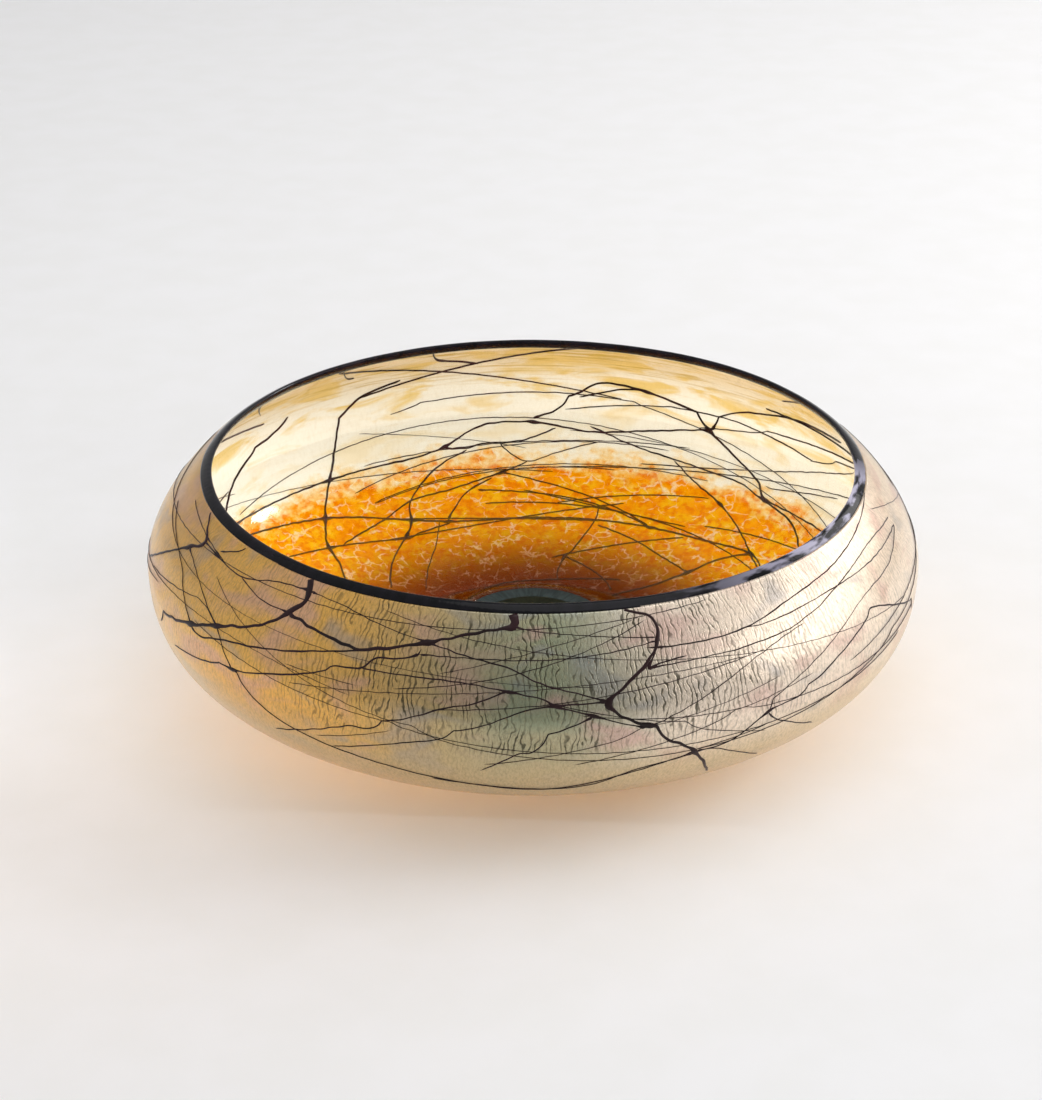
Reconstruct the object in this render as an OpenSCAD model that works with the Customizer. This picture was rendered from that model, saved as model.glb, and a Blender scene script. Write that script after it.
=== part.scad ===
// Wide, low, hand-blown glass bowl with a turned-in shoulder.
// The wall is a sandwich of fused glass layers under a web of dark glass trails.
// All sizes are in millimetres. +Z is up, and the origin is the middle of the resting plane.

/* [Body] */
// Widest diameter of the silvered body
body_d = 250; // [200:1:300]
// Height from the table to the crest of the lip
bowl_h = 76; // [60:1:95]
// Height of the widest level above the table
equator_h = 45.5; // [30:0.5:50]
// How far the mouth turns in from the widest level, on each side
mouth_inset = 18.5; // [10:0.5:45]
// Outer diameter of the foot that rests on the table
foot_d = 100; // [80:1:140]
// Width of the flat, ground band round the foot
foot_band = 6; // [2:0.5:10]
// Height of the hollow pushed up under the foot
kick_h = 9; // [2:0.5:14]
// Fullness of the curve above the widest level: 2 is an ellipse, more is squarer
shoulder_fullness = 1.7; // [1.5:0.05:2.5]
// Fullness of the curve below the widest level
belly_fullness = 2.65; // [2:0.05:3]

/* [Layers] */
// Thickness of the silvered skin, and of the clear casing under the foot
skin_t = 0.6; // [0.4:0.1:1.2]
// Thickness of the amber layer
frit_t = 0.6; // [0.4:0.1:1.2]
// Thickness of the clear glass at the mouth
mouth_glass = 1.6; // [1:0.1:4]
// Thickness of the clear glass where the wall meets the foot
base_glass = 3.3; // [2:0.1:8]
// Whole thickness of the middle of the floor
floor_t = 6.3; // [5:0.1:12]
// Level where the amber layer stops, in percent down the belly
frit_level = 8; // [2:1:60]
// Level where the silvered skin stops above the foot, in percent down the belly
skin_level = 96; // [80:1:98]

/* [Lip] */
// How far the black lip stands proud of the wall on each face
lip_overhang = 0.2; // [0:0.05:1]
// How far the black lip stands beyond the end of the wall
lip_h = 3.6; // [1.5:0.1:8]

/* [Floor disc] */
// Outer diameter of the dark ring set in the inside floor
disc_d = 49; // [30:1:56]
// Width of the ring round the darker button
ring_w = 6; // [2:0.5:12]

/* [Trails] */
// Width of a heavy trail
heavy_w = 1.7; // [0.8:0.1:3]
// Width of a light trail
light_w = 1.0; // [0.5:0.1:2]
// How far a trail stands out of the skin
trail_t = 0.35; // [0.2:0.05:1]
// Longest step along a trail
trail_step = 4; // [2:0.5:6]

/* [Hidden] */

body_r = body_d / 2;
mouth_r = body_r - mouth_inset;
foot_r = foot_d / 2;
kick_r = foot_r - foot_band;
disc_r = disc_d / 2;
button_r = disc_r - ring_w;
gather_depth = skin_t + frit_t;
mouth_wall = skin_t + mouth_glass;
base_wall = gather_depth + base_glass;
floor_h = kick_h + floor_t;
lip_w = mouth_wall + 2 * lip_overhang;
wall_steps = 28;        // straight pieces along each quarter of an outline
band_steps = 4;         // straight pieces along each short band of an outline
disc_steps = 6;         // straight pieces across each zone of the floor
lip_steps = 16;         // straight pieces round the lip's section
seat_gap = 0.1;         // keeps the flat underside of a trail clear of the curved skin
tip_share = 0.35;       // size of a trail's blunt tip against its full size
$fn = 96;

// ---- Outline of the body: two superellipse quarters that meet at the widest level ----

// Height of a quarter's point, as a share of its semi-height, where the radius is r
function rise_share(r, n) = pow(1 - pow(r / body_r, n), 1 / n);
// Slope of the wall's outward normal above the horizontal, on a quarter with semi-height b
function normal_at(r, share, n, b) =
    let(across = pow(r / body_r, n - 1) / body_r, up = pow(share, n - 1) / b,
        size = norm([across, up])) [across, up] / size;

belly_b = equator_h / rise_share(foot_r, belly_fullness);
mouth_share = rise_share(mouth_r, shoulder_fullness);

// Height that the lip adds above the wall's end, when the wall's outer edge ends at height z
function lip_rise(z) =
    let(n = normal_at(mouth_r, mouth_share, shoulder_fullness, (z - equator_h) / mouth_share))
    norm([n.y * lip_w / 2, n.x * lip_h]) - n.y * mouth_wall / 2;
// The wall's end height that puts the lip's crest at bowl_h, found by repeating
function settle(z, turns) = turns == 0 ? z : settle(bowl_h - lip_rise(z), turns - 1);
wall_h = settle(bowl_h - lip_h / 2, 12);
shoulder_b = (wall_h - equator_h) / mouth_share;

foot_angle = asin(pow(rise_share(foot_r, belly_fullness), belly_fullness / 2));
mouth_angle = asin(pow(mouth_share, shoulder_fullness / 2));

// Point of the outline at a level: 0 is the widest level, 100 the mouth, -100 the foot.
// Gives [[radius, height], [outward normal]].
function outline(level) =
    let(up = level >= 0, n = up ? shoulder_fullness : belly_fullness, b = up ? shoulder_b : belly_b,
        a = up ? mouth_angle * level / 100 : foot_angle * -level / 100,
        share = pow(sin(a), 2 / n), r = body_r * pow(cos(a), 2 / n),
        nrm = normal_at(r, share, n, b))
    [[r, equator_h + (up ? 1 : -1) * b * share], [nrm.x, (up ? 1 : -1) * nrm.y]];
// The same point moved inward along the normal
function inside_outline(level, depth) = let(o = outline(level)) o[0] - depth * o[1];

// Whole wall thickness at a level, growing smoothly from the mouth to the foot
function wall_at(level) = mouth_wall + (base_wall - mouth_wall) * pow((100 - level) / 200, 2);
// Numbers from one value towards another in even steps, leaving out the last
function evenly(from, to, steps) = [for (i = [0 : steps - 1]) from + (to - from) * i / steps];
// Every layer has its corners at these levels, so that faces fused together match
stations = concat(evenly(100, 0, wall_steps), evenly(0, -frit_level, band_steps),
    evenly(-frit_level, -skin_level, wall_steps), evenly(-skin_level, -100, band_steps), [-100]);
// Line between two levels at a fixed depth below the outside
function layer_line(from, to, depth) =
    [for (l = stations) if (l <= from && l >= to) inside_outline(l, depth)];
// Line of the inside of the wall, from the mouth down to the floor
inner_wall_line = [for (l = evenly(100, -100, wall_steps * 2)) inside_outline(l, wall_at(l))];

// Pushed-up floor: level out to the disc's edge, then a cosine slope down to radius far
function hill(r, far) = r <= disc_r ? 1 : r >= far ? 0 : 0.5 + 0.5 * cos(180 * (r - disc_r) / (far - disc_r));
// Height of the underside at radius r, lifted by depth
function under_at(r, depth) = depth + kick_h * hill(r, kick_r);
// Height of the inside floor at radius r
floor_edge = inside_outline(-100, base_wall);
function floor_at(r) = floor_edge.y + (floor_h - floor_edge.y) * hill(r, floor_edge.x);
// Corners across the floor, from one radius inward to another
function radii(far, near) = concat(evenly(far, near, disc_steps), [near]);
disc_radii = concat(evenly(disc_r, button_r, disc_steps), radii(button_r, 0));
// Underside line, lifted by depth, from the foot's radius in to the disc or to the axis
function under_line(depth, whole) = [for (r = concat([foot_r], evenly(kick_r, disc_r, disc_steps * 2),
    whole ? disc_radii : [disc_r])) [r, under_at(r, depth)]];
function backward(list) = [for (i = [len(list) - 1 : -1 : 0]) list[i]];

// ---- Fused glass layers ----

// Thick clear glass: the blown bubble that everything else is laid on
module clear_gather() {
    above = layer_line(100, -frit_level, skin_t);
    below = layer_line(-frit_level, -100, gather_depth);
    outer = concat(above, below, under_line(gather_depth, false));
    floor_top = [for (r = concat(evenly(floor_edge.x, disc_r, disc_steps * 2), [disc_r])) [r, floor_at(r)]];
    color("ivory") rotate_extrude() polygon(concat(outer, backward(concat(inner_wall_line, floor_top))));
}

// Amber layer, which covers the floor and the belly and fades out below the widest level
module amber_frit() {
    outer = concat(layer_line(-frit_level, -100, skin_t), under_line(skin_t, true));
    inner = concat(layer_line(-frit_level, -100, gather_depth), under_line(gather_depth, true));
    color("orange") rotate_extrude() polygon(concat(outer, backward(inner)));
}

// Thin silvered skin that gives the outside its lustre
module silver_skin() {
    color("tan") rotate_extrude() polygon(concat(layer_line(100, -skin_level, 0),
        backward(layer_line(100, -skin_level, skin_t))));
}

// Clear casing of the underside, ground flat where the bowl rests
module foot_casing() {
    outer = concat(layer_line(-skin_level, -100, 0), under_line(0, true));
    inner = concat(layer_line(-skin_level, -100, skin_t), under_line(skin_t, true));
    color("lightgray") rotate_extrude() polygon(concat(outer, backward(inner)));
}

// Black lip: a half-oval bead on the end of the wall
module lip_wrap() {
    nrm = outline(100)[1];
    along = [-nrm.y, nrm.x];
    seat = inside_outline(100, mouth_wall / 2);
    color("black") rotate_extrude() polygon([for (i = [0 : lip_steps]) let(a = 180 * i / lip_steps)
        seat + nrm * cos(a) * lip_w / 2 + along * sin(a) * lip_h]);
}

// Round plug of the floor between two radii, flush with the inside
module floor_plug(far, near) {
    top = [for (r = radii(far, near)) [r, floor_at(r)]];
    bottom = [for (r = radii(far, near)) [r, under_at(r, gather_depth)]];
    rotate_extrude() polygon(concat(bottom, backward(top)));
}
module base_ring() { color("darkslategray") floor_plug(disc_r, button_r); }
module base_button() { color("darkolivegreen") floor_plug(button_r, 0); }

// ---- Trails: flat-bottomed threads laid on the skin ----
// Each trail's points are [azimuth, level]: azimuth 0 is the front, 90 the right, in degrees.

west_rim = [[-68, 97], [-64, 88], [-63, 82], [-66, 72], [-71, 55], [-80, 20]];
west_drip = [[-37, 97], [-36, 86], [-38, 73], [-42, 56], [-50, 38], [-56, 23], [-68, -5]];
west_band = [[-54, 18], [-48, 29], [-39, 41], [-31, 53], [-28, 57]];
front_drip = [[-3, 97], [-3, 91], [-8, 86], [-15, 76], [-22, 66], [-26, 63], [-36, 71]];
front_sweep = [[-13, 71], [-8, 68], [-3, 62], [1, 51], [5, 44], [8.5, 37]];
front_band = [[-24, 49], [-12, 50], [-6, 47], [1, 39], [3, 32], [8, 21]];
low_loop = [[-45, 2], [-41, -5], [-34, -12], [-19, -20], [-8, -26], [2, -29], [14, -18], [20, -15]];
east_drip = [[15, 97], [18, 91], [18, 76], [15, 57], [12, 44], [10, 31], [13, 12], [17, -2], [22, -12],
             [26, -33]];
east_rise = [[18, 59], [22, 58], [30, 58], [39, 60], [46, 66], [54, 74], [65, 80], [77, 75]];
east_arm = [[24, -11], [27, -11], [33, -3], [40, 0], [46, 17], [54, 34], [58, 38], [72, -4]];
back_left = [[226, 32], [228, 16], [232, 2], [237, -5], [240, -11], [243, -20]];
back_drop = [[209, 36], [212, 25], [215, 0], [218, -23]];
back_arch = [[242, -27], [231, -28], [211, -27], [202, -26], [196, -22], [189, -12], [180, -11], [170, -15],
             [161, -12], [151, -7]];
back_wave = [[180, -7], [175, -3], [172, 9], [168, 29], [160, 22], [150, -2], [144, -13], [137, -24],
             [134, -32], [126, -37], [120, -46]];
back_slope = [[166, -18], [161, -21], [149, -26], [140, -28], [136, -30]];
back_belt = [[242, -36], [224, -46], [207, -59], [195, -64], [179, -64], [158, -63], [141, -62], [128, -59],
             [122, -63]];
floor_arc = [[149, -97], [141, -89], [136, -78], [133, -68], [129, -62]];

// Smooth curve through four neighbouring points, at t from 0 to 1 between the middle two
function blend(a, b, c, d, t) =
    0.5 * (2 * b + (c - a) * t + (2 * a - 5 * b + 4 * c - d) * t * t + (3 * b - a - 3 * c + d) * t * t * t);
function point_of(list, i) = list[max(0, min(len(list) - 1, i))];
// Rough distance in millimetres between two trail points, for choosing the number of steps
function gap_between(p, q) =
    norm([(q.x - p.x) * PI / 180 * body_r, (q.y - p.y) / 100 * (equator_h + body_r - foot_r) * 0.8]);
// The points joined by a smooth curve, with a step no longer than trail_step
function smooth_route(list) = concat(
    [for (i = [0 : len(list) - 2])
        let(n = max(2, ceil(gap_between(list[i], list[i + 1]) / trail_step)),
            before = point_of(list, i - 1), after = point_of(list, i + 2))
        for (k = [0 : n - 1]) blend(before, list[i], list[i + 1], after, k / n)],
    [list[len(list) - 1]]);
// Position and outward normal in space of a trail point, lifted by up
function on_skin(p, up) =
    let(o = outline(p.y), at = o[0] + up * o[1]) [at.x * sin(p.x), -at.x * cos(p.x), at.y];
function skin_normal(p) = let(n = outline(p.y)[1]) [n.x * sin(p.x), -n.x * cos(p.x), n.y];

// Half-oval section of a trail: [share of the width, share of the height]
trail_section = [[-0.5, 0], [-0.3, 0.75], [0, 1], [0.3, 0.75], [0.5, 0]];

module trail(list, w) {
    route = smooth_route(list);
    last = len(route) - 1;
    sides = len(trail_section);
    rings = [for (i = [0 : last])
        let(p = route[i], n = skin_normal(p),
            ahead = on_skin(route[min(last, i + 1)], 0) - on_skin(route[max(0, i - 1)], 0),
            side = cross(n, ahead) / norm(cross(n, ahead)),
            size = (i == 0 || i == last) ? tip_share : 1)
        for (s = trail_section) on_skin(p, seat_gap) + side * s.x * w * size + n * s.y * trail_t * size];
    walls = [for (i = [0 : last - 1], j = [0 : sides - 1])
        let(a = i * sides + j, b = i * sides + (j + 1) % sides, c = b + sides, d = a + sides)
        each [[a, b, c], [a, c, d]]];
    start_cap = [for (j = [1 : sides - 2]) [0, j + 1, j]];
    end_cap = [for (j = [1 : sides - 2]) [last * sides, last * sides + j, last * sides + j + 1]];
    color([0.15, 0.08, 0.06]) polyhedron(rings, concat(walls, start_cap, end_cap));
}

module trail_west_rim() { trail(west_rim, heavy_w); }
module trail_west_drip() { trail(west_drip, heavy_w); }
module trail_west_band() { trail(west_band, light_w); }
module trail_front_drip() { trail(front_drip, heavy_w); }
module trail_front_sweep() { trail(front_sweep, light_w); }
module trail_front_band() { trail(front_band, light_w); }
module trail_low_loop() { trail(low_loop, light_w); }
module trail_east_drip() { trail(east_drip, heavy_w); }
module trail_east_rise() { trail(east_rise, light_w); }
module trail_east_arm() { trail(east_arm, light_w); }
module trail_back_left() { trail(back_left, light_w); }
module trail_back_drop() { trail(back_drop, light_w); }
module trail_back_arch() { trail(back_arch, light_w); }
module trail_back_wave() { trail(back_wave, light_w); }
module trail_back_slope() { trail(back_slope, light_w); }
module trail_back_belt() { trail(back_belt, light_w); }
module trail_floor_arc() { trail(floor_arc, light_w); }

clear_gather();
amber_frit();
silver_skin();
foot_casing();
lip_wrap();
base_ring();
base_button();
trail_west_rim();
trail_west_drip();
trail_west_band();
trail_front_drip();
trail_front_sweep();
trail_front_band();
trail_low_loop();
trail_east_drip();
trail_east_rise();
trail_east_arm();
trail_back_left();
trail_back_drop();
trail_back_arch();
trail_back_wave();
trail_back_slope();
trail_back_belt();
trail_floor_arc();
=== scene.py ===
"""A wide, low art glass bowl: silvered skin, amber layer, clear gather, black lip and dark trails."""
import math
import random

import bpy
import numpy as np
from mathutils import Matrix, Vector


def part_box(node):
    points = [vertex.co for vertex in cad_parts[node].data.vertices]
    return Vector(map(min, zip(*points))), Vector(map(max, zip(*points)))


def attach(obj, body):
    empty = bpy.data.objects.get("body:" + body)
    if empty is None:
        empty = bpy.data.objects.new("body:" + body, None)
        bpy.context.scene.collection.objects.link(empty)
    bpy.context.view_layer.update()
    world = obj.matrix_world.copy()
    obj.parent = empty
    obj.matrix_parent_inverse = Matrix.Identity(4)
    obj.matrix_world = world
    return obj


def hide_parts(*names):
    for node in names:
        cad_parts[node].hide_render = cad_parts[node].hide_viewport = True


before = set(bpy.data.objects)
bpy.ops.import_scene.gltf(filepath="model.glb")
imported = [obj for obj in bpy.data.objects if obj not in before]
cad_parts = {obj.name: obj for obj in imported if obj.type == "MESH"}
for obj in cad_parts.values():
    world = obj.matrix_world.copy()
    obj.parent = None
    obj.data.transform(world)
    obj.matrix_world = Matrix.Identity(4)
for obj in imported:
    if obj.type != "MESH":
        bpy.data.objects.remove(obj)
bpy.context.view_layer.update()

MM = 0.001

# ---------------------------------------------------------------- driving sizes, in millimetres
BODY_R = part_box("silver_skin")[1].x / MM
BOWL_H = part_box("lip_wrap")[1].z / MM
EQUATOR_H = 45.5            # height of the widest level
MOUTH_R = 106.5             # outer edge of the wall at the mouth
FOOT_R = 50.0               # outer edge of the foot
FOOT_BAND = 6.0             # width of the ground resting band
KICK_H = 9.0                # hollow pushed up under the foot
SHOULDER = 1.7              # fullness of the curve above the widest level
BELLY = 2.65                # fullness of the curve below it
MOUTH_WALL = 2.2            # wall thickness at the mouth
BASE_WALL = 4.5             # wall thickness at the foot
FLOOR_H = 15.3              # height of the middle of the inside floor
LIP_W = 2.6                 # thickness of the lip across the wall
LIP_H = 3.6                 # length of the lip along the wall
SKIN_T = 0.5                # thickness of the silvered skin
AMBER_T = 0.5               # thickness of the amber layer
DISC_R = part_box("base_ring")[1].x / MM
BUTTON_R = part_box("base_button")[1].x / MM
TURNS = 384                 # facets round the bowl

# ---------------------------------------------------------------- outline of the bowl
# A level says how far up the wall a point is.
MOUTH = 100
WIDEST = 0
FOOT = -100


def rise_share(r, fullness):
    """Share of the full height that a superellipse reaches at radius r."""
    return (1 - (r / BODY_R) ** fullness) ** (1 / fullness)


def normal_at(r, share, fullness, semi):
    """Outward normal (across, up) of a superellipse that is semi mm high."""
    across = (r / BODY_R) ** (fullness - 1) / BODY_R
    up = share ** (fullness - 1) / semi
    size = math.hypot(across, up)
    return across / size, up / size


# the wall ends where the lip on it just reaches the bowl's height, found in a few rounds
mouth_share = rise_share(MOUTH_R, SHOULDER)
wall_h = BOWL_H - LIP_H / 2
for _ in range(12):
    across, up = normal_at(MOUTH_R, mouth_share, SHOULDER, (wall_h - EQUATOR_H) / mouth_share)
    wall_h = BOWL_H - math.hypot(up * LIP_W / 2, across * LIP_H) + up * MOUTH_WALL / 2
SHOULDER_B = (wall_h - EQUATOR_H) / mouth_share
BELLY_B = EQUATOR_H / rise_share(FOOT_R, BELLY)
MOUTH_ANGLE = math.asin(mouth_share ** (SHOULDER / 2))
FOOT_ANGLE = math.asin(rise_share(FOOT_R, BELLY) ** (BELLY / 2))


def outline(level, depth=0.0):
    """Radius and height in mm at a level of the outside, moved in by depth, and the outward normal there."""
    above = level >= WIDEST
    fullness = SHOULDER if above else BELLY
    semi = SHOULDER_B if above else BELLY_B
    angle = (MOUTH_ANGLE if above else FOOT_ANGLE) * abs(level) / MOUTH
    share = math.sin(angle) ** (2 / fullness)
    r = BODY_R * math.cos(angle) ** (2 / fullness)
    across, up = normal_at(r, share, fullness, semi)
    side = 1 if above else -1
    return r - depth * across, EQUATOR_H + side * (semi * share - depth * up), across, side * up


def wall_at(level):
    """Thickness of the whole wall at a level."""
    return MOUTH_WALL + (BASE_WALL - MOUTH_WALL) * ((MOUTH - level) / (MOUTH - FOOT)) ** 2


def hill(r, far):
    """Share of the pushed-up floor's height: level out to the disc's edge, then a slope down to far."""
    if r <= DISC_R:
        return 1.0
    return 0.0 if r >= far else 0.5 + 0.5 * math.cos(math.pi * (r - DISC_R) / (far - DISC_R))


def under_at(r, depth):
    """Height at radius r of the underside, moved up by depth."""
    return depth + KICK_H * hill(r, FOOT_R - FOOT_BAND)


FLOOR_EDGE = outline(FOOT, BASE_WALL)


def floor_at(r):
    """Height of the inside floor at radius r."""
    return FLOOR_EDGE[1] + (FLOOR_H - FLOOR_EDGE[1]) * hill(r, FLOOR_EDGE[0])


def spread(start, end, count):
    return [start + (end - start) * i / count for i in range(count + 1)]


def wall_line(start, end, count, depth):
    """Points (radius, height) between two levels at a depth, which may be a function of the level."""
    return [outline(v, depth(v) if callable(depth) else depth)[:2] for v in spread(start, end, count)]


def under_line(start, end, count, depth):
    """Points (radius, height) of the underside between two radii, moved up by depth."""
    return [(r, under_at(r, depth)) for r in spread(start, end, count)]


def floor_line(start, end, count):
    """Points (radius, height) of the inside floor between two radii."""
    return [(r, floor_at(r)) for r in spread(start, end, count)]


def rise_to(level):
    """Distance in mm along the wall from the widest level up to a level, negative below."""
    line = wall_line(WIDEST, level, 60, 0)
    return math.copysign(sum(math.dist(a, b) for a, b in zip(line, line[1:])), level)


def distance_along(points, start):
    """Distance in mm along the wall at each point of a line that runs down from start."""
    steps = [start]
    for a, b in zip(points, points[1:]):
        steps.append(steps[-1] - math.dist(a, b))
    return steps


def around(r, azimuth):
    """Place (x, y) at a radius and an azimuth in radians: 0 is the front and a quarter turn the right."""
    return r * math.sin(azimuth), -r * math.cos(azimuth)


# ---------------------------------------------------------------- mesh making
ON_AXIS = 1e-6              # a radius under this is one point on the axis


def make_mesh(name, verts, faces, wrap=None, groups=None, materials=()):
    """A smooth mesh object. wrap holds the surface coordinates in mm that the materials read."""
    mesh = bpy.data.meshes.new(name)
    mesh.from_pydata([tuple(v) for v in verts], [], faces)
    mesh.polygons.foreach_set("use_smooth", [True] * len(mesh.polygons))
    if groups is not None:
        mesh.polygons.foreach_set("material_index", groups)
    if wrap is not None:
        store = mesh.attributes.new("wrap", "FLOAT_VECTOR", "POINT")
        store.data.foreach_set("vector", np.asarray(wrap, np.float32).ravel())
    for material in materials:
        mesh.materials.append(material)
    mesh.update()
    piece = bpy.data.objects.new(name, mesh)
    bpy.context.scene.collection.objects.link(piece)
    return piece


def ring_faces(ring, after, k):
    """The face between two rings at facet k, a triangle where one ring is a single point."""
    n = (k + 1) % TURNS
    if len(ring) == 1:
        return ring[0], after[k], after[n]
    if len(after) == 1:
        return ring[k], after[0], ring[n]
    return ring[k], after[k], after[n], ring[n]


def lathe(name, loop, along, groups, materials, ripple=None):
    """Turns a closed loop of (radius, height) in mm round the axis. ripple(turn) gives (dr, dz) in mm."""
    verts, wrap, rings = [], [], []
    for (r, z), v in zip(loop, along):
        if r < ON_AXIS:
            rings.append([len(verts)])
            verts.append((0.0, 0.0, z * MM))
            wrap.append((0.0, 0.0, v))
            continue
        ring = []
        for k in range(TURNS):
            turn = 2 * math.pi * k / TURNS
            dr, dz = ripple(turn) if ripple else (0.0, 0.0)
            x, y = around(r + dr, turn)
            ring.append(len(verts))
            verts.append((x * MM, y * MM, (z + dz) * MM))
            wrap.append((*around(BODY_R, turn), v))
        rings.append(ring)
    faces, marks = [], []
    for i, ring in enumerate(rings):
        after = rings[(i + 1) % len(rings)]
        if len(ring) == 1 and len(after) == 1:
            continue
        faces += [ring_faces(ring, after, k) for k in range(TURNS)]
        marks += [groups[i]] * TURNS
    return make_mesh(name, verts, faces, wrap, marks, materials)


def layer(name, outer, inner, top, materials):
    """A closed shell between an outer and an inner line, both running down from level top.

    The first material is on the outer face and the last on the inner one.
    """
    start = rise_to(top)
    along = distance_along(outer, start) + distance_along(inner, start)[::-1]
    loop = list(outer) + list(inner)[::-1]
    groups = [0] * len(outer) + [len(materials) - 1] * len(inner)
    return lathe(name, loop, along, groups, materials)


# ---------------------------------------------------------------- material making


class Nodes:
    """Short way to write a node tree: add(kind, socket=value or socket) gives the new node."""

    def __init__(self, name):
        self.material = bpy.data.materials.new(name)
        self.material.use_nodes = True
        self.tree = self.material.node_tree
        self.tree.nodes.clear()

    def put(self, socket, value):
        if isinstance(value, bpy.types.NodeSocket):
            self.tree.links.new(value, socket)
        elif isinstance(value, bpy.types.Node):
            self.tree.links.new(value.outputs[0], socket)
        else:
            socket.default_value = value

    def add(self, kind, settings=None, **inputs):
        node = self.tree.nodes.new(kind)
        for key, value in (settings or {}).items():
            setattr(node, key, value)
        for key, value in inputs.items():
            self.put(node.inputs[key.replace("_", " ")], value)
        return node

    def math(self, operation, a, b=0.0, clamp=False):
        node = self.tree.nodes.new("ShaderNodeMath")
        node.operation = operation
        node.use_clamp = clamp
        self.put(node.inputs[0], a)
        self.put(node.inputs[1], b)
        return node.outputs[0]

    def times(self, a, b):
        return self.math("MULTIPLY", a, b)

    def surface(self):
        """Wrapped surface coordinates in mm: x and y go round the bowl, z along the wall."""
        return self.add("ShaderNodeAttribute", {"attribute_name": "wrap"}).outputs["Vector"]

    def place(self):
        """How far to the right, to the back and up the wall a point is, in mm."""
        return self.add("ShaderNodeSeparateXYZ", Vector=self.surface()).outputs[:3]

    def wrap(self, across, along):
        """Wrapped surface coordinates, scaled round the bowl and along the wall."""
        return self.add("ShaderNodeMapping", Vector=self.surface(), Scale=(across, across, along)).outputs[0]

    def noise(self, vector, scale, detail=2.0, roughness=0.5, distortion=0.0):
        return self.add("ShaderNodeTexNoise", Vector=vector, Scale=scale, Detail=detail,
                        Roughness=roughness, Distortion=distortion).outputs[0]

    def cloud(self, across, along, detail=2.0, roughness=0.5, distortion=0.0):
        """Noise on the wrapped surface coordinates, scaled round the bowl and along the wall."""
        return self.noise(self.wrap(across, along), 1.0, detail, roughness, distortion)

    def ramp(self, value, low, high, start=0.0, end=1.0, smooth=True):
        """Maps value from low..high to start..end, held at both ends."""
        shape = "SMOOTHSTEP" if smooth else "LINEAR"
        return self.add("ShaderNodeMapRange", {"interpolation_type": shape}, Value=value,
                        From_Min=low, From_Max=high, To_Min=start, To_Max=end).outputs[0]

    def mix(self, share, a, b):
        """Colour a, with a share of colour b."""
        node = self.tree.nodes.new("ShaderNodeMix")
        node.data_type = "RGBA"
        self.put(node.inputs[0], share)
        self.put(node.inputs[6], a)
        self.put(node.inputs[7], b)
        return node.outputs[2]

    def blend(self, share, a, b):
        """Shader a, with a share of shader b."""
        node = self.tree.nodes.new("ShaderNodeMixShader")
        for socket, value in zip(node.inputs, (share, a, b)):
            self.put(socket, value)
        return node.outputs[0]

    def bump(self, height, strength, distance):
        return self.add("ShaderNodeBump", Height=height, Strength=strength, Distance=distance).outputs[0]

    def finish(self, surface):
        out = self.tree.nodes.new("ShaderNodeOutputMaterial")
        self.put(out.inputs["Surface"], surface)
        return self.material


def rgb(r, g, b):
    return (r, g, b, 1.0)


def hexed(code):
    """Linear colour of a six-digit display colour."""
    parts = [int(code[i:i + 2], 16) / 255 for i in (0, 2, 4)]
    return rgb(*(p / 12.92 if p <= 0.04045 else ((p + 0.055) / 1.055) ** 2.4 for p in parts))


WRINKLE_GAP = 1.7           # distance in mm between the upright wrinkles of the crackle


def crackle(m, side, back, height):
    """Upright wrinkles, strongest above the widest level and in the middle of the front: 1 on a line."""
    turn = m.times(m.math("ARCTAN2", side, m.times(back, -1.0)), BODY_R / WRINKLE_GAP)
    sway = m.times(m.cloud(0.1, 0.1), 4.0)
    wander = m.times(m.cloud(0.4, 0.26), 1.7)
    phase = m.math("PINGPONG", m.math("ADD", turn, m.math("ADD", sway, wander)), 0.5)
    breaks = m.ramp(m.cloud(0.42, 0.17), 0.38, 0.52, 0.1, 1.0)
    long_lines = m.times(m.ramp(phase, 0.06, 0.24, 1.0, 0.0), breaks)
    fine = m.cloud(1.0, 0.36, distortion=0.4)
    short_lines = m.ramp(m.math("ABSOLUTE", m.math("SUBTRACT", fine, 0.5)), 0.0, 0.04, 1.0, 0.0)
    patch = m.ramp(m.cloud(0.05, 0.07), 0.36, 0.6, 0.35, 1.0)
    upper = m.ramp(height, -9.0, -4.0, 0.1, 1.0)
    middle = m.ramp(m.math("ABSOLUTE", m.math("ADD", side, -8.0)), 48.0, 88.0, 1.0, 0.3)
    lines = m.math("MAXIMUM", long_lines, m.times(short_lines, 0.4))
    return m.times(lines, m.times(patch, m.times(upper, middle)))


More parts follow.
